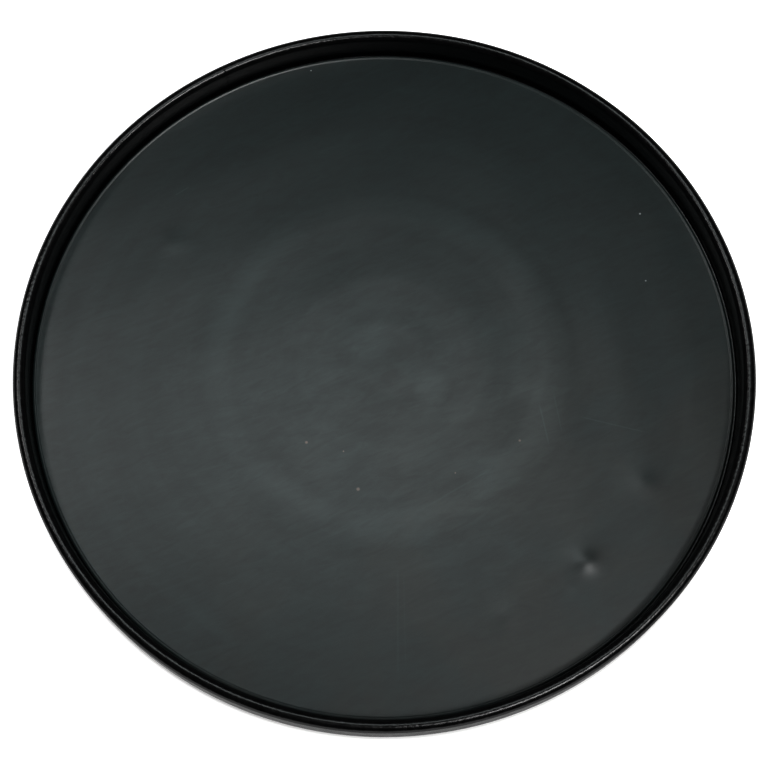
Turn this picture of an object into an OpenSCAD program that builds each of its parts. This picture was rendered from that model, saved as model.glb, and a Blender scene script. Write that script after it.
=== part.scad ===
// Round leather-covered serving tray: a plywood base in a bent-wood hoop, wrapped in
// black leather, with a padded leather floor panel dropped in and a suede underside.
// Millimetres, +Z up, origin at the middle of the underside.

/* [Tray] */
// Outside diameter over the leather
tray_d = 400; // [340:5:460]
// Height from the table to the top of the rim
tray_h = 23.5; // [18:0.5:32]
// Thickness of the finished wall, leather on both faces
wall_t = 6.8; // [4.8:0.1:8]

/* [Wood] */
// Thickness of the base board
board_t = 3; // [2.5:0.25:5]
// Depth of the rabbet in the hoop that holds the edge of the base board
rabbet_d = 1.2; // [0.8:0.1:1.6]

/* [Wall leather] */
// Thickness of the leather on the wall
wall_leather_t = 1; // [0.8:0.1:1.2]
// Thickness of the leather where it is pared down and turned under the base
turn_under_t = 0.5; // [0.4:0.05:0.7]
// Width of the leather that is turned under the base
turn_under_w = 15; // [10:1:20]
// Thickness of the leather where it is pared down and turned onto the base board
turn_in_t = 0.3; // [0.2:0.05:0.4]
// Width of the leather that is turned onto the base board
turn_in_w = 6; // [4:0.5:9]
// Radius of the bottom outside corner
foot_r = 1.6; // [1:0.1:2]

/* [Floor panel] */
// Gap between the floor panel and the wall
panel_gap = 0.9; // [0.6:0.1:2.5]
// Radius of the rounded shoulder at the edge of the floor panel
shoulder_r = 2; // [1.2:0.1:2.2]
// Thickness of the leather on the floor panel
floor_leather_t = 0.8; // [0.6:0.05:1]
// Thickness of the pad under the floor leather
pad_t = 0.4; // [0.3:0.05:0.8]
// Thickness of the stiff board in the floor panel
panel_board_t = 0.8; // [0.8:0.1:1.5]
// Width of the floor leather that is turned under its board
panel_turn_w = 10; // [6:1:15]

/* [Underside] */
// Thickness of the suede on the underside
suede_t = 0.5; // [0.4:0.1:1]
// How far the edge of the suede stands back from the outside of the tray
suede_inset = 2.6; // [2.2:0.1:6]

/* [Hidden] */
$fn = 180;

// Radii of the wall, from the outside in
outer_r = tray_d / 2;
hoop_outer_r = outer_r - wall_leather_t;
hoop_inner_r = outer_r - wall_t + wall_leather_t;
well_r = outer_r - wall_t;
board_r = hoop_inner_r + rabbet_d;

// Heights, from the table up
turn_under_z = suede_t;
board_z = turn_under_z + turn_under_t;
board_top_z = board_z + board_t;
turn_in_top_z = board_top_z + turn_in_t;
panel_board_z = turn_in_top_z + turn_in_t;
pad_z = panel_board_z + panel_board_t;
pad_top_z = pad_z + pad_t;
floor_z = pad_top_z + floor_leather_t;

// Radii of the floor panel and of what is turned under and in
panel_r = well_r - panel_gap;
panel_inner_r = panel_r - floor_leather_t;
panel_turn_r = panel_r - panel_turn_w;
turn_under_r = outer_r - turn_under_w;
turn_in_r = hoop_inner_r - turn_in_w;
suede_r = outer_r - suede_inset;

// A flat disc of radius r from z0 to z1.
module disc(r, z0, z1) {
  translate([0, 0, z0]) cylinder(r = r, h = z1 - z0);
}

// A wall section with a full round top, between two radii and two heights, whose
// bottom outside corner is rounded to corner_r. It is drawn in the XZ half plane.
module wall_section(r0, r1, z0, z1, corner_r) {
  top_r = (r1 - r0) / 2;
  translate([r0 + top_r, z1 - top_r]) circle(r = top_r);
  translate([r0, z0 + corner_r]) square([r1 - r0, z1 - top_r - z0 - corner_r]);
  translate([r0, z0]) square([r1 - r0 - corner_r, corner_r]);
  translate([r1 - corner_r, z0 + corner_r]) circle(r = corner_r);
}

// A panel section from the axis to radius r, with a rounded top shoulder.
module panel_section(r, z0, z1, edge_r) {
  square_h = z1 - z0 - edge_r;
  translate([0, z0]) square([r - edge_r, z1 - z0]);
  translate([r - edge_r, z0]) square([edge_r, square_h]);
  intersection() {
    translate([r - edge_r, z1 - edge_r]) circle(r = edge_r);
    translate([r - edge_r, z1 - edge_r]) square(edge_r);
  }
}

// Suede glued over the underside. It is what the tray stands on.
module base_suede() color("#1a1a1c") disc(suede_r, 0, suede_t);

// Card that levels the underside inside the ring of turned-under leather.
module base_infill() color("#6f675c") disc(turn_under_r, turn_under_z, board_z);

// Plywood base board.
module base_board() color("#c9a878") disc(board_r, board_z, board_top_z);

// Bent-wood hoop with a round top edge, and a rabbet for the base board.
module wall_hoop() color("#b98f5c")
  difference() {
    rotate_extrude()
      wall_section(hoop_inner_r, hoop_outer_r, board_z, tray_h - wall_leather_t,
                   foot_r - turn_under_t);
    disc(board_r, board_z - 1, board_top_z);
  }

// Leather that wraps the hoop: up the inside, over the top and down the outside. It is
// turned under the base at the bottom, and onto the base board at the floor.
module wall_leather() color("#0d0d0e") {
  rotate_extrude()
    difference() {
      union() {
        wall_section(well_r, outer_r, turn_under_z, tray_h, foot_r);
        translate([turn_under_r, turn_under_z])
          square([outer_r - foot_r - turn_under_r, turn_under_t]);
        translate([turn_in_r, board_top_z]) square([turn_in_w, turn_in_t]);
      }
      wall_section(hoop_inner_r, hoop_outer_r, board_z, tray_h - wall_leather_t,
                   foot_r - turn_under_t);
      translate([0, board_z]) square([hoop_inner_r + rabbet_d, board_t]);
    }
}

// Adhesive that holds the floor panel down. It also fills the shallow well inside the
// leather that is turned under the panel's board.
module floor_adhesive() color("#8a7f66") {
  disc(turn_in_r, board_top_z, turn_in_top_z);
  disc(panel_turn_r, board_top_z, panel_board_z);
}

// Stiff board of the floor panel.
module floor_board() color("#8c8375") disc(panel_inner_r, panel_board_z, pad_z);

// Thin pad between the floor board and its leather.
module floor_pad() color("#3c3b3a") disc(panel_inner_r - shoulder_r / 2, pad_z, pad_top_z);

// Floor leather: over the pad, round the shoulder and turned under the board.
module floor_leather() color("#26292a")
  difference() {
    rotate_extrude() panel_section(panel_r, turn_in_top_z, floor_z, shoulder_r);
    disc(panel_turn_r, turn_in_top_z - 1, panel_board_z);
    disc(panel_inner_r, panel_board_z, pad_z);
    disc(panel_inner_r - shoulder_r / 2, pad_z, pad_top_z);
  }

base_suede();
base_infill();
base_board();
wall_hoop();
wall_leather();
floor_adhesive();
floor_board();
floor_pad();
floor_leather();
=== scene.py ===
"""Looks of a round leather-covered serving tray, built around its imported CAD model.

The file is laid out as an add-on and run as a script: settings, one operator for each
piece, a panel, and a main function that makes the pieces in order. Everything is in
metres, +Z up, with the tray standing on z = 0.
"""

import math

import bpy
import numpy as np
from mathutils import Matrix, Vector


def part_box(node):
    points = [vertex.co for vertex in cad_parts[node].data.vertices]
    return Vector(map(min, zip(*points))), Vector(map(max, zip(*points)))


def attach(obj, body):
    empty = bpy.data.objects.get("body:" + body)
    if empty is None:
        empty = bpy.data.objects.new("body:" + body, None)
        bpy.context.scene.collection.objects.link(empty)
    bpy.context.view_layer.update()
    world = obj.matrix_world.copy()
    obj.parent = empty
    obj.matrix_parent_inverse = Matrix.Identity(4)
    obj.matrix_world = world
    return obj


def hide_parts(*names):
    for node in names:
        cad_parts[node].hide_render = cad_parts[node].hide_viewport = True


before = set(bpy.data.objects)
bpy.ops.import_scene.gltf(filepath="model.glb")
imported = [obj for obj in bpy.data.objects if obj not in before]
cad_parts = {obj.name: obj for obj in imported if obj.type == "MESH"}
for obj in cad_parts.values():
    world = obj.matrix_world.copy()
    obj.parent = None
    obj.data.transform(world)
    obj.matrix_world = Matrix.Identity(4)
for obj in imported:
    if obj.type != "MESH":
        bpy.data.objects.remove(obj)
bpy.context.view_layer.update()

bl_info = {
    "name": "Leather Serving Tray",
    "version": (1, 0, 0),
    "blender": (4, 5, 0),
    "location": "View3D > Sidebar > Tray",
    "description": "Leather, suede and core finishes for a round serving tray",
    "category": "Object",
}

MM = 0.001
BODY = "root"


# ---------------------------------------------------------------- sizes from the frame


def top_z(node):
    """Height of the top of a CAD node."""
    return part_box(node)[1].z


def base_z(node):
    """Height of the bottom of a CAD node."""
    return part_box(node)[0].z


def outer_radius(node):
    """Outside radius of a round CAD node."""
    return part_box(node)[1].x


# ---------------------------------------------------------------- settings


class TrayWallSettings(bpy.types.PropertyGroup):
    """Wall leather: its thickness, seam, grain and dye."""

    thickness: bpy.props.FloatProperty(
        name="Thickness", description="Leather on the faces of the wall",
        default=1.0 * MM, min=0.5 * MM, max=2 * MM, unit="LENGTH")
    wall_thickness: bpy.props.FloatProperty(
        name="Wall", description="Finished wall, with leather on both faces",
        default=6.8 * MM, min=4 * MM, max=9 * MM, unit="LENGTH")
    foot_radius: bpy.props.FloatProperty(
        name="Foot radius", description="Rounding of the bottom outside corner",
        default=1.6 * MM, min=0.5 * MM, max=3 * MM, unit="LENGTH")
    waviness: bpy.props.FloatProperty(
        name="Waviness", description="How far the hand-wrapped rim strays from a true circle",
        default=0.16 * MM, min=0, max=1 * MM, unit="LENGTH")
    seam_angle: bpy.props.FloatProperty(
        name="Seam angle", description="Where the ends of the leather strip meet",
        default=math.radians(118), subtype="ANGLE")
    grain_size: bpy.props.FloatProperty(
        name="Grain size", description="Size of one pebble of the grain",
        default=1.9 * MM, min=0.5 * MM, max=5 * MM, unit="LENGTH")
    grain_depth: bpy.props.FloatProperty(
        name="Grain depth", description="Height of the pebbles over the creases between them",
        default=0.07 * MM, min=0, max=1 * MM, unit="LENGTH")
    colour: bpy.props.FloatVectorProperty(
        name="Colour", description="Black dye of the wall leather",
        default=(0.0034, 0.0034, 0.0037), subtype="COLOR", size=3, min=0, max=1)


class TrayFloorSettings(bpy.types.PropertyGroup):
    """Floor leather: its edge, place, soft relief and dye."""

    turned_width: bpy.props.FloatProperty(
        name="Turned width", description="Leather turned under the floor panel, past its edge",
        default=10 * MM, min=4 * MM, max=20 * MM, unit="LENGTH")
    shoulder: bpy.props.FloatProperty(
        name="Shoulder", description="Radius of the rounded edge of the floor panel",
        default=1.5 * MM, min=0.5 * MM, max=4 * MM, unit="LENGTH")
    lip: bpy.props.FloatProperty(
        name="Lip", description="Height of the raised lip that the creased edge leaves",
        default=0.42 * MM, min=0, max=1 * MM, unit="LENGTH")
    lip_width: bpy.props.FloatProperty(
        name="Lip width", description="Width of the slope that rises to the lip",
        default=1.0 * MM, min=0.2 * MM, max=3 * MM, unit="LENGTH")
    offset: bpy.props.FloatVectorProperty(
        name="Offset", description="How far the panel was set off the middle of the well",
        default=(-0.4 * MM, -0.3 * MM), size=2, subtype="TRANSLATION", unit="LENGTH")
    relief: bpy.props.FloatProperty(
        name="Relief", description="Strength of the soft waves in the leather",
        default=2.2, min=0, max=4, subtype="FACTOR")
    colour: bpy.props.FloatVectorProperty(
        name="Colour", description="Black dye of the floor leather",
        default=(0.0155, 0.0235, 0.0238), subtype="COLOR", size=3, min=0, max=1)


class TrayStageSettings(bpy.types.PropertyGroup):
    """Camera and table."""

    camera_aside: bpy.props.FloatProperty(
        name="Camera aside", description="Camera to the right of the tray's middle",
        default=-0.2 * MM, min=-0.1, max=0.1, unit="LENGTH")
    camera_distance: bpy.props.FloatProperty(
        name="Camera distance", description="From the middle of the rim to the camera",
        default=0.8153, min=0.3, max=5, unit="LENGTH")
    camera_elevation: bpy.props.FloatProperty(
        name="Camera elevation", description="Camera above the table, seen from the tray",
        default=math.radians(70.353), subtype="ANGLE")
    camera_pitch: bpy.props.FloatProperty(
        name="Camera pitch", description="Angle of the camera's view below the horizontal",
        default=math.radians(71.519), subtype="ANGLE")
    lens: bpy.props.FloatProperty(
        name="Lens", description="Focal length on a full-frame sensor, in millimetres",
        default=71.04, min=20, max=200)
    table_colour: bpy.props.FloatVectorProperty(
        name="Table colour", description="Pale table top",
        default=(0.86, 0.86, 0.85), subtype="COLOR", size=3, min=0, max=1)


# ---------------------------------------------------------------- surfaces


def quad_grid(rows, columns, wrap_rows):
    """Corner numbers of the quads of a grid whose columns run round a full turn."""
    row = np.arange(rows if wrap_rows else rows - 1)[:, None]
    column = np.arange(columns)[None, :]
    next_row = (row + 1) % rows
    next_column = (column + 1) % columns
    corners = [row * columns + column, row * columns + next_column,
               next_row * columns + next_column, next_row * columns + column]
    return np.stack([np.broadcast_to(c, (row.size, columns)) for c in corners], -1).reshape(-1, 4)


def add_piece(name, points, faces, node, material):
    """Makes a smooth-shaded mesh object, points its faces outwards and rides it on the body."""
    flat = [face for block in faces for face in block.tolist()]
    mesh = bpy.data.meshes.new(name)
    mesh.from_pydata(points.tolist(), [], flat)
    if signed_volume(points, faces) < 0:
        mesh.flip_normals()
    mesh.polygons.foreach_set("use_smooth", np.ones(len(mesh.polygons), bool))
    mesh.validate()
    mesh.update()
    piece = bpy.data.objects.new(name, mesh)
    bpy.context.scene.collection.objects.link(piece)
    piece.data.materials.append(material)
    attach(piece, BODY)
    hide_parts(node)
    return piece


def signed_volume(points, faces):
    """Sum of the tetrahedra between the origin and each face, positive if faces point out."""
    total = 0.0
    for block in faces:
        a, b, c = (points[block[:, i]] for i in range(3))
        total += np.einsum("ij,ij->i", a, np.cross(b, c)).sum()
        if block.shape[1] == 4:
            d = points[block[:, 3]]
            total += np.einsum("ij,ij->i", a, np.cross(c, d)).sum()
    return total / 6


def ring_surface(radius, height, angles):
    """A closed profile turned about the axis: point (r cos a, r sin a, h), for each angle.

    radius and height are arrays of profile points by angles, and the profile's last
    point joins its first.
    """
    x, y = radius * np.cos(angles), radius * np.sin(angles)
    points = np.stack([x, y, np.broadcast_to(height, radius.shape)], -1).reshape(-1, 3)
    return points, [quad_grid(radius.shape[0], angles.size, True)]


def disc_surface(radius, height, angles):
    """An open profile that starts and ends on the axis, turned about it.

    The first and last profile points become single pole points with a fan of triangles.
    """
    inner_r, inner_h = radius[1:-1], np.broadcast_to(height, radius.shape)[1:-1]
    grid = np.stack([inner_r * np.cos(angles), inner_r * np.sin(angles), inner_h], -1)
    rows, columns = inner_r.shape
    ends = np.broadcast_to(height, radius.shape)[[0, -1], 0]
    poles = np.array([[0, 0, ends[0]], [0, 0, ends[1]]])
    points = np.concatenate([grid.reshape(-1, 3), poles])
    first = np.arange(columns)
    after = (first + 1) % columns
    start = np.stack([np.full(columns, rows * columns), after, first], -1)
    last_row = (rows - 1) * columns
    end = np.stack([np.full(columns, rows * columns + 1), last_row + first, last_row + after], -1)
    return points, [quad_grid(rows, columns, False), start, end]


def arc(centre_r, centre_z, radius, start, stop, count):
    """Points of a circular arc in the profile plane, angles in degrees from +r towards +z."""
    a = np.radians(np.linspace(start, stop, count))
    return np.stack([centre_r + radius * np.cos(a), centre_z + radius * np.sin(a)], -1)


def line(r0, z0, r1, z1, count):
    """Evenly spaced points between two points, without the last one."""
    t = np.linspace(0, 1, count, endpoint=False)[:, None]
    return np.array([[r0, z0]]) * (1 - t) + np.array([[r1, z1]]) * t


def full_turn(count):
    """Angles round the axis, evenly spaced."""
    return np.linspace(0, 2 * np.pi, count, endpoint=False)


def bell(distance, width):
    """exp(-(distance / width)^2): 1 at zero distance, faded out at about twice the width."""
    return np.exp(-((distance / width) ** 2))


def smooth_step(value, low, high):
    """0 below the low end, 1 above the high end, and 3t^2 - 2t^3 between them."""
    t = np.clip((value - low) / (high - low), 0, 1)
    return t * t * (3 - 2 * t)


def angle_apart(angles, centre):
    """Signed angle from a direction, between minus and plus half a turn."""
    return (angles - centre + np.pi) % (2 * np.pi) - np.pi


# ---------------------------------------------------------------- material nodes


# Bands of the floor with real polish in the roughness and painted sheen in the colour: inner and outer
# radius and softness as shares of the panel, and strength.
POLISH_AND_SHEEN_BANDS = ((0.450, 0.515, 0.040, 0.52), (0.245, 0.275, 0.035, 0.26), (0.72, 0.75, 0.04, 0.14),
                (0.86, 0.89, 0.02, 0.14))

# Patches near the middle with real polish in the roughness and painted sheen in the colour: x, y and size
# in millimetres, and strength.
POLISH_AND_SHEEN_PATCHES = ((-9, 13, 16, 0.40), (25, -13, 13, 0.55), (78, -14, 12, 0.30), (4, -8, 9, -0.40))

# Specks and worn-through chips: x, y and size in millimetres, and shade.
DUST = (0.42, 0.44, 0.44)
WORN = (0.115, 0.088, 0.074)
SPECKS = ((145, 90, 0.75, DUST), (146, 49, 0.6, DUST), (-43, 182, 0.55, DUST), (-42, -45, 1.1, WORN),
          (-14, -71, 1.3, WORN), (73, -44, 0.9, WORN), (-22, -50, 0.6, WORN), (38, -62, 0.6, WORN))

# Straight scuffs: both ends and half width in millimetres, and strength.
SCUFFS = ((104, -30, 144, -40, 0.55, 0.30), (7, -109, 7, -176, 0.9, 0.14),
          (10, -112, 11, -170, 0.6, 0.10), (-120, 101, -111, 107, 0.5, 0.40),
          (84, -22, 89, -48, 0.6, 0.22), (92, -16, 96, -40, 0.5, 0.15), (20, -82, 62, -57, 0.7, 0.14))


class NodeBoard:
    """A material's node tree, with short calls that add and link nodes."""

    # Sockets of the colour Mix node, whose names are shared with its other data types.
    FACTOR, FIRST_COLOUR, SECOND_COLOUR, MIXED_COLOUR = 0, 6, 7, 2

    def __init__(self, name):
        self.material = bpy.data.materials.new(name)
        self.material.use_nodes = True
        self.tree = self.material.node_tree
        self.tree.nodes.clear()
        self.output = self.tree.nodes.new("ShaderNodeOutputMaterial")
        self.shader = self.tree.nodes.new("ShaderNodeBsdfPrincipled")
        self.tree.links.new(self.shader.outputs[0], self.output.inputs["Surface"])
        self.place = self.add("ShaderNodeTexCoord").outputs["Object"]

    def add(self, kind, **settings):
        node = self.tree.nodes.new(kind)
        for key, value in settings.items():
            setattr(node, key, value)
        return node

    def feed(self, socket, value):
        if isinstance(value, bpy.types.NodeSocket):
            self.tree.links.new(value, socket)
        else:
            socket.default_value = value

    def math(self, operation, a, b=0.0, clamp=False):
        node = self.add("ShaderNodeMath", operation=operation, use_clamp=clamp)
        self.feed(node.inputs[0], a)
        self.feed(node.inputs[1], b)
        return node.outputs[0]

    def times(self, a, b):
        return self.math("MULTIPLY", a, b)

    def plus(self, a, b):
        return self.math("ADD", a, b)

    def swing(self, noise, amount):
        """A noise shifted to lie about zero and scaled."""
        return self.times(self.math("SUBTRACT", noise, 0.5), amount)

    def noise(self, vector, scale, detail=2.0, roughness=0.5, distortion=0.0):
        node = self.add("ShaderNodeTexNoise")
        self.feed(node.inputs["Vector"], vector)
        node.inputs["Scale"].default_value = scale
        node.inputs["Detail"].default_value = detail
        node.inputs["Roughness"].default_value = roughness
        node.inputs["Distortion"].default_value = distortion
        return node.outputs["Fac"]

    def cells(self, size):
        """Rounded cells of a given size: distance from the nearest cell's middle."""
        node = self.add("ShaderNodeTexVoronoi", feature="SMOOTH_F1")
        self.feed(node.inputs["Vector"], self.place)
        node.inputs["Scale"].default_value = 1 / size
        node.inputs["Smoothness"].default_value = 0.4
        return node.outputs["Distance"]

    def ramp(self, value, low, high, out_low=0.0, out_high=1.0):
        node = self.add("ShaderNodeMapRange", interpolation_type="SMOOTHSTEP")
        self.feed(node.inputs["Value"], value)
        for key, number in (("From Min", low), ("From Max", high),
                            ("To Min", out_low), ("To Max", out_high)):
            node.inputs[key].default_value = number
        return node.outputs["Result"]

    def mix(self, factor, a, b, blend="MIX"):
        node = self.add("ShaderNodeMix", data_type="RGBA", blend_type=blend)
        self.feed(node.inputs[self.FACTOR], factor)
        self.feed(node.inputs[self.FIRST_COLOUR], a)
        self.feed(node.inputs[self.SECOND_COLOUR], b)
        return node.outputs[self.MIXED_COLOUR]

    def bump(self, height, depth, below=None):
        node = self.add("ShaderNodeBump")
        node.inputs["Distance"].default_value = depth
        self.feed(node.inputs["Height"], height)
        if below is not None:
            self.feed(node.inputs["Normal"], below)
        return node.outputs["Normal"]

    def stretched(self, scale, vector=None):
        node = self.add("ShaderNodeVectorMath", operation="MULTIPLY")
        self.feed(node.inputs[0], vector or self.place)
        node.inputs[1].default_value = scale
        return node.outputs[0]

    def polar(self):
        """Distance from the tray's axis and angle round it."""
        parts = self.add("ShaderNodeSeparateXYZ")
        self.feed(parts.inputs[0], self.place)
        x, y = parts.outputs[0], parts.outputs[1]
        squares = self.plus(self.times(x, x), self.times(y, y))
        return self.math("SQRT", squares), self.math("ARCTAN2", y, x)

    def clamp(self, value):
        return self.math("ADD", value, 0.0, clamp=True)

    def ring_band(self, radius, inner, outer, soft):
        """1 between two radii, with soft edges."""
        return self.times(self.ramp(radius, inner - soft, inner + soft),
                          self.ramp(radius, outer + soft, outer - soft))

    def turned(self, angle, scale):
        """Object coordinates turned about the axis, then stretched."""
        node = self.add("ShaderNodeMapping", vector_type="POINT")
        self.feed(node.inputs["Vector"], self.place)
        node.inputs["Rotation"].default_value = (0, 0, angle)
        return self.stretched(scale, node.outputs[0])

    def along(self, way):
        """Distance from the tray's middle, measured one way."""
        node = self.add("ShaderNodeVectorMath", operation="DOT_PRODUCT")
        self.feed(node.inputs[0], self.place)
        node.inputs[1].default_value = way
        return node.outputs["Value"]

    def scuff(self, start, end, width):
        """1 on a straight line over the floor, falling to 0 at the given half width.

        The distance from the line's middle is split into a part along it and a part across.
        """
        middle = ((start[0] + end[0]) / 2, (start[1] + end[1]) / 2)
        way = Vector((end[0] - start[0], end[1] - start[1], 0))
        half = way.length / 2
        way.normalize()
        across = self.apart((way.y, -way.x, 0), middle)
        lengthways = self.apart(way, middle)
        return self.times(self.ramp(across, width, width * 0.2), self.ramp(lengthways, half, half * 0.6))

    def apart(self, way, point):
        """Distance from a point, measured one way and without its sign."""
        start = way[0] * point[0] + way[1] * point[1]
        return self.math("ABSOLUTE", self.math("SUBTRACT", self.along(way), start))

    def near(self, x, y, size):
        """1 at a point of the floor, falling to 0 at the given distance."""
        node = self.add("ShaderNodeVectorMath", operation="DISTANCE")
        self.feed(node.inputs[0], self.stretched((1, 1, 0)))
        node.inputs[1].default_value = (x, y, 0)
        return self.ramp(node.outputs["Value"], size, size * 0.3)


def rgba(colour, gain=1.0):
    """A colour with alpha, optionally brightened."""
    return (*(min(1.0, c * gain) for c in colour), 1.0)


def wall_leather_material(settings):
    """Pebble-grained black leather: rounded cells with creases between them, finer pores, and painted
    shade: darker dye in the creases, lighter on the pebble tops.
    """
    board = NodeBoard("pebbled_wall_leather")
    pebbles = board.cells(settings.grain_size)
    large = board.noise(board.place, 0.35 / settings.grain_size, 2.0)
    pores = board.noise(board.place, 4 / settings.grain_size, 3.0, 0.6)
    painted_crease_shade = board.ramp(pebbles, 0.35, 0.75)
    grain = board.bump(pebbles, -settings.grain_depth)
    grain = board.bump(large, settings.grain_depth * 1.2, grain)
    normal = board.bump(pores, settings.grain_depth * 0.12, grain)
    # Painted shade: a darker copy of the dye in the creases and a lighter one on the pebble tops.
    colour = board.mix(painted_crease_shade, rgba(settings.colour, 1.25), rgba(settings.colour, 0.6))
    board.feed(board.shader.inputs["Base Color"], colour)
    board.shader.inputs["Specular IOR Level"].default_value = 0.34
    board.feed(board.shader.inputs["Roughness"], board.ramp(large, 0.3, 0.7, 0.20, 0.27))
    board.feed(board.shader.inputs["Normal"], normal)
    return board.material


def polish_and_sheen_mask(board, panel, fibres):
    """Mask of real polish and painted sheen on the floor, from about 0 to 1.

    Where it is high the roughness falls and the colour is lightened as painted sheen. Faint rings
    are a noise read along the distance from the axis. Broad bands, patches near the middle,
    brushed fibres and a slanting mottle, stronger near the middle, add to it.
    """
    radius, angle = board.polar()
    drift = board.noise(board.place, 6.0, 2.0, 0.5)
    wandering = board.plus(radius, board.swing(drift, 0.022))
    ring_place = board.add("ShaderNodeCombineXYZ")
    board.feed(ring_place.inputs["X"], board.times(wandering, 95.0))
    board.feed(ring_place.inputs["Y"], board.times(board.math("COSINE", angle), 0.5))
    board.feed(ring_place.inputs["Z"], board.times(board.math("SINE", angle), 0.5))
    polish_and_sheen = board.times(board.noise(ring_place.outputs[0], 1.0, 2.5, 0.6), 0.60)
    for inner, outer, soft, gain in POLISH_AND_SHEEN_BANDS:
        band = board.ring_band(wandering, inner * panel, outer * panel, soft * panel)
        patchy = board.times(band, board.ramp(drift, 0.38, 0.60, 0.12, 1.0))
        polish_and_sheen = board.plus(polish_and_sheen, board.times(patchy, gain))
    for x, y, size, gain in POLISH_AND_SHEEN_PATCHES:
        patch = board.near(x * MM, y * MM, size * MM)
        polish_and_sheen = board.plus(polish_and_sheen, board.times(patch, gain))
    polish_and_sheen = board.plus(polish_and_sheen, board.swing(fibres, 1.5))
    mottle = board.noise(board.turned(math.radians(-20), (24, 60, 1)), 1.0, 4.0, 0.62, 0.5)
    mottle_middle = board.near(12 * MM, -38 * MM, 110 * MM)
    mottle = board.swing(mottle, board.plus(mottle_middle, 0.55))
    return board.plus(polish_and_sheen, board.times(mottle, 1.1))


def floor_colour(board, settings, polish_and_sheen):
    """Dye of the floor: browner towards the near right, with painted sheen from darker and lighter copies
    of the dye mixed by the polish-and-sheen mask, and with marks.
    """
    dye = settings.colour
    browner = (dye[0] * 1.28, dye[1], dye[2] * 0.93)
    cloud = board.noise(board.place, 16.0, 4.0, 0.6)
    near_right = board.times(board.ramp(board.along((0.55, -0.83, 0)), -0.05, 0.16),
                             board.ramp(cloud, 0.38, 0.62))
    tone = board.mix(near_right, rgba(dye), rgba(browner))
    # Painted sheen: a darker and a lighter copy of the dye, mixed by the mask of polish and sheen.
    painted_shade_tone = board.mix(1.0, tone, (0.72, 0.72, 0.72, 1), "MULTIPLY")
    bright = board.mix(1.0, tone, (1.5, 1.5, 1.5, 1), "MULTIPLY")
    colour = board.mix(board.clamp(polish_and_sheen), painted_shade_tone, bright)
    for x, y, size, shade in SPECKS:
        colour = board.mix(board.near(x * MM, y * MM, size * MM), colour, (*shade, 1))
    for x0, y0, x1, y1, width, strength in SCUFFS:
        scuff = board.scuff((x0 * MM, y0 * MM), (x1 * MM, y1 * MM), width * MM)
        colour = board.mix(board.times(scuff, strength), colour, rgba(dye, 3.2))
    return colour


def floor_leather_material(settings, panel):
    """Smooth satin black leather: polishing rings and brushed fibres that lower the roughness and are
    painted as sheen in the colour, specks, chips and scuffs.
    """
    board = NodeBoard("satin_floor_leather")
    fibres = board.noise(board.turned(math.radians(-22), (55, 210, 1)), 1.0, 5.0, 0.72, 1.2)
    polish_and_sheen = polish_and_sheen_mask(board, panel, fibres)
    board.feed(board.shader.inputs["Base Color"], floor_colour(board, settings, polish_and_sheen))
    board.feed(board.shader.inputs["Roughness"], board.ramp(polish_and_sheen, 0.0, 1.0, 0.366, 0.330))
    grain = board.bump(board.cells(0.9 * MM), -0.012 * MM)
    board.feed(board.shader.inputs["Normal"], board.bump(fibres, 0.020 * MM, grain))
    return board.material


def suede_material():
    """Charcoal suede: a short nap that catches the light in soft brushed patches."""
    board = NodeBoard("charcoal_suede")
    nap = board.noise(board.place, 2600.0, 3.0, 0.7)
    brushed = board.noise(board.stretched((1, 2.4, 1)), 24.0, 3.0, 0.55, 0.6)
    shade = board.mix(board.ramp(brushed, 0.35, 0.7), (0.011, 0.011, 0.012, 1), (0.024, 0.024, 0.026, 1))
    board.feed(board.shader.inputs["Base Color"], shade)
    board.feed(board.shader.inputs["Normal"], board.bump(nap, 0.12 * MM))
    board.shader.inputs["Roughness"].default_value = 0.95
    board.shader.inputs["Sheen Weight"].default_value = 0.35
    board.shader.inputs["Sheen Roughness"].default_value = 0.45
    return board.material


def wood_material(name, light, dark, stretch):
    """Plain unfinished wood: long grain lines stretched along one way, with pores."""
    board = NodeBoard(name)
    grain = board.noise(board.stretched(stretch), 60.0, 5.0, 0.6, 0.4)
    pores = board.noise(board.stretched(tuple(s * 6 for s in stretch)), 160.0, 2.0)
    colour = board.mix(board.ramp(grain, 0.3, 0.7), rgba(dark), rgba(light))
    board.feed(board.shader.inputs["Base Color"], colour)
    board.feed(board.shader.inputs["Normal"], board.bump(pores, 0.05 * MM))
    board.shader.inputs["Roughness"].default_value = 0.62
    return board.material


def fibre_material(name, light, dark, size, depth, roughness):
    """Card, felt or dried adhesive: an even field of fine flecks."""
    board = NodeBoard(name)
    flecks = board.noise(board.place, 1 / size, 4.0, 0.65)
    colour = board.mix(board.ramp(flecks, 0.35, 0.65), rgba(dark), rgba(light))
    board.feed(board.shader.inputs["Base Color"], colour)
    board.feed(board.shader.inputs["Normal"], board.bump(flecks, depth))
    board.shader.inputs["Roughness"].default_value = roughness
    return board.material


# ---------------------------------------------------------------- pieces


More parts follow.
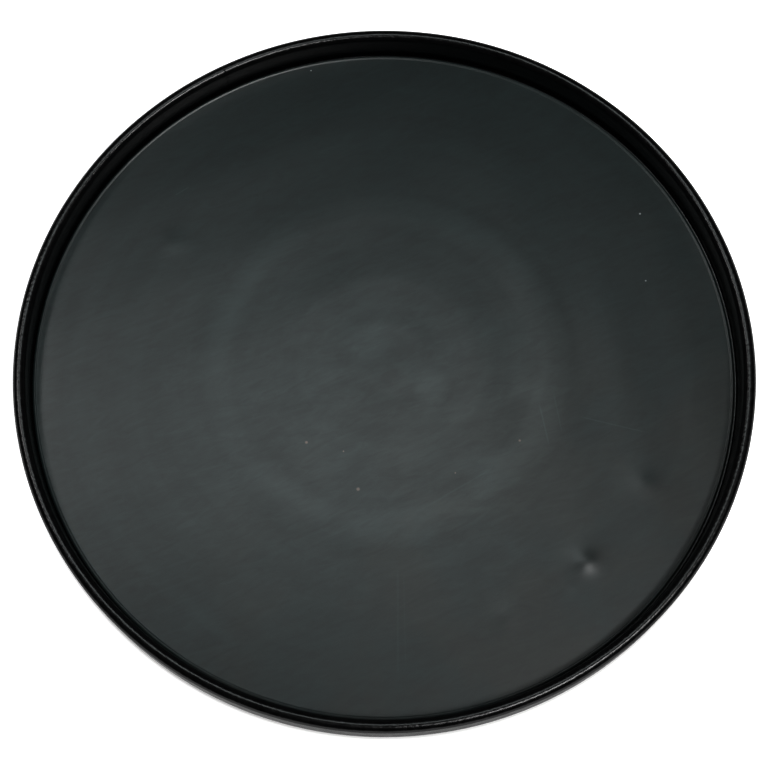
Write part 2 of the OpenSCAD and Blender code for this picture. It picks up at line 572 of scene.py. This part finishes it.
class TRAY_OT_wall_leather(bpy.types.Operator):
    """Leather wrapped over the hoop, with its seam and its turned-under edges"""

    bl_idname = "tray.wall_leather"
    bl_label = "Wall leather"

    # Steps round the axis; the seam has its own finer ones, spread over this angle either way.
    TURN_STEPS = 880
    SEAM_STEPS = 15
    SEAM_SPREAD = math.radians(0.35)

    # The seam: a narrow groove between two soft swellings, as depths and widths.
    GROOVE_DEPTH, GROOVE_WIDTH = 0.22 * MM, 0.22 * MM
    SWELLING, SWELLING_WIDTH = 0.10 * MM, 1.6 * MM

    def profile(self, settings):
        """The cut through the wrap, from its inner edge on the board round to the same edge.

        Up the hoop's inside face, over a half circle, down the outside, round the foot
        and in under the base; then back along the inner face of the leather. Also says
        which of its points are on the wall's own faces, where the seam shows.
        """
        outer = outer_radius("wall_leather")
        well = outer - settings.wall_thickness
        half = settings.wall_thickness / 2
        foot = settings.foot_radius
        low, high = base_z("wall_leather"), top_z("wall_leather")
        board_low, board_high = base_z("base_board"), top_z("base_board")
        hoop_in, hoop_out = well + settings.thickness, outer - settings.thickness
        hoop_half = (hoop_out - hoop_in) / 2
        hoop_top = high - settings.thickness
        under_r = outer_radius("base_infill")
        inner_r = outer_radius("floor_adhesive")
        turn_in_top = base_z("floor_leather")
        paring = foot - (board_low - low)
        turned_in = np.concatenate([
            line(inner_r, board_high, inner_r, turn_in_top, 2),
            line(inner_r, turn_in_top, well, turn_in_top, 6),
        ])
        wall_faces = np.concatenate([
            line(well, turn_in_top, well, high - half, 14),
            arc(well + half, high - half, half, 180, 0, 30)[:-1],
            line(outer, high - half, outer, low + foot, 16),
            arc(outer - foot, low + foot, foot, 0, -90, 9)[:-1],
        ])
        turned_under = np.concatenate([
            line(outer - foot, low, under_r, low, 8),
            line(under_r, low, under_r, board_low, 2),
        ])
        back = np.concatenate([
            line(under_r, board_low, hoop_out - paring, board_low, 6),
            arc(hoop_out - paring, board_low + paring, paring, -90, 0, 5)[:-1],
            line(hoop_out, board_low + paring, hoop_out, hoop_top - hoop_half, 8),
            arc(hoop_in + hoop_half, hoop_top - hoop_half, hoop_half, 0, 180, 12)[:-1],
            line(hoop_in, hoop_top - hoop_half, hoop_in, board_high, 6),
            line(hoop_in, board_high, inner_r, board_high, 4),
        ])
        cut = np.concatenate([turned_in, wall_faces, turned_under, back])
        on_wall = np.zeros(cut.shape[0], bool)
        on_wall[turned_in.shape[0]:turned_in.shape[0] + wall_faces.shape[0]] = True
        return cut, on_wall

    def wander(self, angles):
        """How the hand-wrapped rim strays from a circle: four sines round the turn."""
        return (np.sin(2 * angles + 0.7) + 0.6 * np.sin(5 * angles + 2.1)
                + 0.35 * np.sin(11 * angles + 0.4) + 0.2 * np.sin(23 * angles + 1.9))

    def execute(self, context):
        settings = context.scene.tray_wall
        cut, on_wall = self.profile(settings)
        seam_lines = settings.seam_angle + np.linspace(-self.SEAM_SPREAD, self.SEAM_SPREAD, self.SEAM_STEPS)
        angles = np.unique(np.concatenate([full_turn(self.TURN_STEPS), seam_lines % (2 * np.pi)]))
        radius = np.repeat(cut[:, :1], angles.size, 1)
        height = np.repeat(cut[:, 1:], angles.size, 1)
        half = settings.wall_thickness / 2
        middle_r = outer_radius("wall_leather") - half
        low, high = base_z("wall_leather"), top_z("wall_leather")
        rise = np.clip((height - low) / (high - low), 0, 1)
        radius += settings.waviness * 0.4 * self.wander(angles) * rise
        apart = angle_apart(angles, settings.seam_angle) * middle_r
        seam = (self.GROOVE_DEPTH * bell(apart, self.GROOVE_WIDTH)
                - self.SWELLING * bell(apart, self.SWELLING_WIDTH))
        out_r, out_z = radius - middle_r, height - np.minimum(height, high - half)
        share = np.where(on_wall[:, None], seam, 0) / np.maximum(np.hypot(out_r, out_z), MM)
        radius -= out_r * share
        height -= out_z * share
        points, faces = ring_surface(radius, height, angles)
        material = wall_leather_material(settings)
        add_piece("wall_leather_wrap", points, faces, "wall_leather", material)
        return {"FINISHED"}


class TRAY_OT_floor_leather(bpy.types.Operator):
    """Leather of the drop-in floor panel, with its soft waves, lumps and rounded edge"""

    bl_idname = "tray.floor_leather"
    bl_label = "Floor leather"

    # Lumps under the leather: x, y, width and height in millimetres; a hollow is negative.
    LUMPS = ((106, -110, 9, 1.3), (139, -68, 9, 0.55), (64, -139, 10, 0.5), (95, -122, 6, -0.3),
             (-118, 72, 9, 0.25))

    # Middle of the swirl near the axis, in millimetres.
    SWIRL = (7, -11)

    def relief(self, settings, x, y):
        """Height of the leather over its flat panel.

        Rings: bells round three radii, the widest near half way out, and a faint cosine of
        the distance. Swirl: a cosine of the angle less the distance. Slow waves: eight sines
        in different directions. Each lump is (1 + (d / width)^2)^-2 high at a distance d.
        """
        r, a = np.hypot(x, y), np.arctan2(y, x)
        share = r / outer_radius("floor_leather")
        turn = 1 + 0.35 * np.sin(a + 2.2) + 0.2 * np.sin(3 * a + 0.5)
        rings = 0.045 * MM * turn * bell(share - 0.49, 0.06)
        rings += 0.030 * MM * (1 + 0.5 * np.sin(a - 0.6)) * bell(share - 0.27, 0.05)
        rings += 0.020 * MM * bell(share - 0.13, 0.03)
        rings += 0.003 * MM * np.cos(share * 95 + 0.6 * np.sin(2 * a)) * bell(share - 0.5, 0.4)
        swirl_x, swirl_y = (place * MM for place in self.SWIRL)
        swirl_r, swirl_a = np.hypot(x - swirl_x, y - swirl_y), np.arctan2(y - swirl_y, x - swirl_x)
        swirl = 0.035 * MM * np.cos(swirl_a - swirl_r / (5 * MM)) * bell(swirl_r, 14 * MM)
        swirl *= 1 - bell(swirl_r, 4 * MM)
        random = np.random.default_rng(11)
        waves = np.zeros_like(r)
        for _ in range(8):
            way = random.uniform(0, np.pi)
            length = random.uniform(0.03, 0.09)
            phase = random.uniform(0, 6)
            along = x * np.cos(way) + y * np.sin(way)
            waves += 0.012 * MM * np.sin(2 * np.pi * along / length + phase)
        lumps = np.zeros_like(r)
        for lump_x, lump_y, width, rise in self.LUMPS:
            distance = np.hypot(x - lump_x * MM, y - lump_y * MM)
            lumps += rise * MM * (1 + (distance / (width * MM)) ** 2) ** -2
        return settings.relief * (rings + swirl + waves) + lumps

    # Steps round the axis, over the top from the middle out, at the lip, and over the shoulder.
    TURN_STEPS = 500
    TOP_STEPS = 130
    LIP_STEPS = 41
    SHOULDER_STEPS = 24

    # How far inside the lip the finer steps start, and how far the leather settles on its pad.
    LIP_MARGIN = 3 * MM
    SETTLING = 0.05 * MM

    def execute(self, context):
        settings = context.scene.tray_floor
        panel = outer_radius("floor_leather")
        low, high = base_z("floor_leather"), top_z("floor_leather")
        board_r = outer_radius("floor_board")
        board_low, board_high = base_z("floor_board"), top_z("floor_board")
        pad_r, pad_high = outer_radius("floor_pad"), top_z("floor_pad")
        turned_r = panel - settings.turned_width
        shoulder = settings.shoulder
        flat_r = panel - shoulder
        lip_r = flat_r - settings.lip_width
        edge_r = lip_r - self.LIP_MARGIN
        top_radius = np.concatenate([np.linspace(0, edge_r, self.TOP_STEPS),
                                     np.linspace(edge_r, flat_r, self.LIP_STEPS)[1:]])
        top = np.stack([top_radius, np.full(top_radius.size, high)], -1)
        cut = np.concatenate([
            top[:-1],
            arc(flat_r, high - shoulder, shoulder, 90, 0, self.SHOULDER_STEPS)[:-1],
            line(panel, high - shoulder, panel, low, 2),
            line(panel, low, turned_r, low, 5),
            line(turned_r, low, turned_r, board_low, 2),
            line(turned_r, board_low, board_r, board_low, 3),
            line(board_r, board_low, board_r, board_high, 2),
            line(board_r, board_high, pad_r, board_high, 2),
            line(pad_r, board_high, pad_r, pad_high, 2),
            line(pad_r, pad_high, 0, pad_high, 6),
            [[0.0, pad_high]],
        ])
        angles = full_turn(self.TURN_STEPS)
        radius = np.repeat(cut[:, :1], angles.size, 1)
        height = np.repeat(cut[:, 1:], angles.size, 1)
        upper = top.shape[0] + self.SHOULDER_STEPS - 2
        x, y = radius[:upper] * np.cos(angles), radius[:upper] * np.sin(angles)
        fade = np.clip((height[:upper] - high + shoulder) / shoulder, 0, 1)
        climb = smooth_step(radius[:upper], lip_r, lip_r + settings.lip_width)
        raised = self.relief(settings, x, y) - self.SETTLING + settings.lip * climb
        height[:upper] += raised * fade
        points, faces = disc_surface(radius, height, angles)
        points[:, :2] += settings.offset
        material = floor_leather_material(settings, panel)
        add_piece("floor_leather_cover", points, faces, "floor_leather", material)
        return {"FINISHED"}


class TRAY_OT_base_suede(bpy.types.Operator):
    """Suede on the underside, with its softly rounded cut edge"""

    bl_idname = "tray.base_suede"
    bl_label = "Base suede"

    TURN_STEPS = 256
    EDGE_SHARE = 0.35

    def execute(self, context):
        radius_out = outer_radius("base_suede")
        high = top_z("base_suede")
        edge = self.EDGE_SHARE * high
        cut = np.concatenate([
            line(0, 0, radius_out - edge, 0, 30),
            arc(radius_out - edge, edge, edge, -90, 0, 5)[:-1],
            line(radius_out, edge, radius_out, high, 2),
            line(radius_out, high, 0, high, 12),
            [[0.0, high]],
        ])
        angles = full_turn(self.TURN_STEPS)
        wander = 1 + 0.0006 * np.sin(3 * angles + 1) + 0.0003 * np.sin(17 * angles)
        radius = np.minimum(cut[:, :1] * wander, radius_out)
        height = np.repeat(cut[:, 1:], angles.size, 1)
        points, faces = disc_surface(radius, height, angles)
        add_piece("base_suede_disc", points, faces, "base_suede", suede_material())
        return {"FINISHED"}


class TRAY_OT_hidden_core(bpy.types.Operator):
    """Wood, card, felt and adhesive finishes for the pieces inside the tray"""

    bl_idname = "tray.hidden_core"
    bl_label = "Hidden core"

    def execute(self, context):
        finishes = {
            "base_board": wood_material("birch_plywood", (0.60, 0.43, 0.25), (0.42, 0.28, 0.15),
                                        (1, 0.08, 1)),
            "wall_hoop": wood_material("bent_beech", (0.52, 0.35, 0.19), (0.36, 0.22, 0.11),
                                       (0.3, 0.3, 1.6)),
            "base_infill": fibre_material("grey_card", (0.30, 0.26, 0.21), (0.22, 0.19, 0.15),
                                          0.4 * MM, 0.03 * MM, 0.9),
            "floor_pad": fibre_material("thin_felt", (0.07, 0.07, 0.07), (0.03, 0.03, 0.03),
                                        0.25 * MM, 0.10 * MM, 1.0),
            "floor_adhesive": fibre_material("dried_adhesive", (0.46, 0.38, 0.22), (0.36, 0.29, 0.16),
                                             1.5 * MM, 0.05 * MM, 0.35),
        }
        finishes["floor_board"] = finishes["base_infill"]
        for node, material in finishes.items():
            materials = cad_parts[node].data.materials
            materials.clear()
            materials.append(material)
        return {"FINISHED"}


# ---------------------------------------------------------------- stage


def area_light(name, place, along, size, power, colour=(1, 1, 1)):
    """A rectangular soft light that shines at the tray's middle, with its width along a way."""
    data = bpy.data.lights.new(name, "AREA")
    data.shape = "RECTANGLE"
    data.size, data.size_y = size
    data.energy = power
    data.color = colour
    light = bpy.data.objects.new(name, data)
    back = Vector(place).normalized()
    side = (Vector(along) - Vector(along).dot(back) * back).normalized()
    turn = Matrix((side, back.cross(side), back)).transposed()
    light.matrix_world = Matrix.Translation(place) @ turn.to_4x4()
    bpy.context.scene.collection.objects.link(light)


class TRAY_OT_stage(bpy.types.Operator):
    """Pale table top, soft lights and the camera"""

    bl_idname = "tray.stage"
    bl_label = "Stage"

    # Half the table's width, how bright its own glow is in the open and in the narrow gap
    # under the tray's edge, where a contact shadow is painted into it, and how far that painted shadow
    # reaches.
    TABLE_HALF = 12.0
    OPEN_GLOW, GAP_GLOW = 0.95, 0.12
    PAINTED_SHADOW_REACH = 5 * MM

    # Heights of a direction and the brightness the reflections see there: the horizon's
    # step from the dark ceiling to the pale room, and the room's fall towards straight down.
    HORIZON = (0.05, -0.05, 0.02, 1.5)
    DOWNWARD = (-0.35, -0.75, 1.0, 0.3)
    BACKDROP = 0.82

    def add_table(self, settings):
        """A square table top under the tray, with a contact shadow painted into its glow in the narrow gap
        round the tray's foot.
        """
        half = self.TABLE_HALF
        mesh = bpy.data.meshes.new("table_top")
        mesh.from_pydata([(-half, -half, 0), (half, -half, 0), (half, half, 0), (-half, half, 0)],
                         [], [(0, 1, 2, 3)])
        board = NodeBoard("pale_table")
        board.feed(board.shader.inputs["Base Color"], rgba(settings.table_colour))
        board.shader.inputs["Roughness"].default_value = 0.9
        board.shader.inputs["Specular IOR Level"].default_value = 0.1
        board.shader.inputs["Emission Color"].default_value = (1, 1, 1, 1)
        # Painted contact shadow: occlusion dims the table's glow near the tray's foot.
        contact = board.add("ShaderNodeAmbientOcclusion")
        contact.inputs["Distance"].default_value = self.PAINTED_SHADOW_REACH
        glow = board.ramp(contact.outputs["AO"], 0.45, 0.9, self.GAP_GLOW, self.OPEN_GLOW)
        board.feed(board.shader.inputs["Emission Strength"], glow)
        mesh.materials.append(board.material)
        table = bpy.data.objects.new("table_top", mesh)
        table.visible_glossy = False
        bpy.context.scene.collection.objects.link(table)

    def add_camera(self, settings, rim_z):
        data = bpy.data.cameras.new("camera")
        data.lens = settings.lens
        data.clip_start, data.clip_end = 0.01, 50
        camera = bpy.data.objects.new("camera", data)
        reach, rise = settings.camera_distance, settings.camera_elevation
        camera.location = (settings.camera_aside, -reach * math.cos(rise), rim_z + reach * math.sin(rise))
        camera.rotation_euler = (math.pi / 2 - settings.camera_pitch, 0, 0)
        bpy.context.scene.collection.objects.link(camera)
        bpy.context.scene.camera = camera

    def make_world(self):
        """A dark studio above the horizon, a pale room low down and a pale backdrop.

        Reflections see a dark ceiling, a bright band under the horizon and a dimmer one
        straight down, as a pale table top would give. The backdrop shows only directly.
        """
        world = bpy.data.worlds.new("studio")
        world.use_nodes = True
        tree = world.node_tree
        way = tree.nodes.new("ShaderNodeTexCoord")
        parts = tree.nodes.new("ShaderNodeSeparateXYZ")
        tree.links.new(way.outputs["Generated"], parts.inputs[0])
        bands = []
        for limits in (self.HORIZON, self.DOWNWARD):
            band = tree.nodes.new("ShaderNodeMapRange")
            for name, value in zip(("From Min", "From Max", "To Min", "To Max"), limits):
                band.inputs[name].default_value = value
            tree.links.new(parts.outputs["Z"], band.inputs["Value"])
            bands.append(band)
        both = tree.nodes.new("ShaderNodeMath")
        both.operation = "MULTIPLY"
        for band, socket in zip(bands, both.inputs):
            tree.links.new(band.outputs["Result"], socket)
        ray = tree.nodes.new("ShaderNodeLightPath")
        seen = tree.nodes.new("ShaderNodeMix")
        seen.inputs["B"].default_value = self.BACKDROP
        tree.links.new(ray.outputs["Is Camera Ray"], seen.inputs["Factor"])
        tree.links.new(both.outputs[0], seen.inputs["A"])
        background = tree.nodes["Background"]
        background.inputs["Color"].default_value = (1, 1, 1, 1)
        tree.links.new(seen.outputs["Result"], background.inputs["Strength"])
        return world

    def execute(self, context):
        settings = context.scene.tray_stage
        scene = context.scene
        self.add_table(settings)
        self.add_camera(settings, top_z("wall_leather"))
        area_light("back_softbox", (-0.05, 0.33, 1.25), (1, 0, 0), (0.60, 0.32), 3.3, (0.92, 1, 1))
        area_light("back_strip", (0.0, 0.30, 1.25), (1, 0, 0), (1.6, 0.26), 0.6)
        area_light("left_softbox", (-0.66, 0.30, 1.15), (0, 1, 0), (0.38, 0.22), 3.0)
        area_light("front_softbox", (0.70, -0.58, 1.98), (1, 1, 0), (1.00, 0.34), 31.0)
        scene.world = self.make_world()
        scene.view_settings.view_transform = "Standard"
        scene.view_settings.gamma = 0.78
        return {"FINISHED"}


# ---------------------------------------------------------------- panel and running


class TRAY_PT_panel(bpy.types.Panel):
    """Lists the settings and the pieces of the tray"""

    bl_idname = "TRAY_PT_panel"
    bl_label = "Serving Tray"
    bl_space_type = "VIEW_3D"
    bl_region_type = "UI"
    bl_category = "Tray"

    def draw(self, context):
        layout = self.layout
        for group in (context.scene.tray_wall, context.scene.tray_floor, context.scene.tray_stage):
            box = layout.box()
            for key in group.__annotations__:
                box.prop(group, key)
        for operator in PIECES:
            layout.operator(operator.bl_idname)


PIECES = (TRAY_OT_wall_leather, TRAY_OT_floor_leather, TRAY_OT_base_suede, TRAY_OT_hidden_core,
          TRAY_OT_stage)
SETTINGS = {"tray_wall": TrayWallSettings, "tray_floor": TrayFloorSettings,
            "tray_stage": TrayStageSettings}


def register():
    for group in SETTINGS.values():
        bpy.utils.register_class(group)
    for name, group in SETTINGS.items():
        setattr(bpy.types.Scene, name, bpy.props.PointerProperty(type=group))
    for operator in PIECES:
        bpy.utils.register_class(operator)
    bpy.utils.register_class(TRAY_PT_panel)


def unregister():
    bpy.utils.unregister_class(TRAY_PT_panel)
    for operator in reversed(PIECES):
        bpy.utils.unregister_class(operator)
    for name in SETTINGS:
        delattr(bpy.types.Scene, name)
    for group in reversed(SETTINGS.values()):
        bpy.utils.unregister_class(group)


def main():
    register()
    bpy.ops.tray.wall_leather()
    bpy.ops.tray.floor_leather()
    bpy.ops.tray.base_suede()
    bpy.ops.tray.hidden_core()
    bpy.ops.tray.stage()


if __name__ == "__main__":
    main()
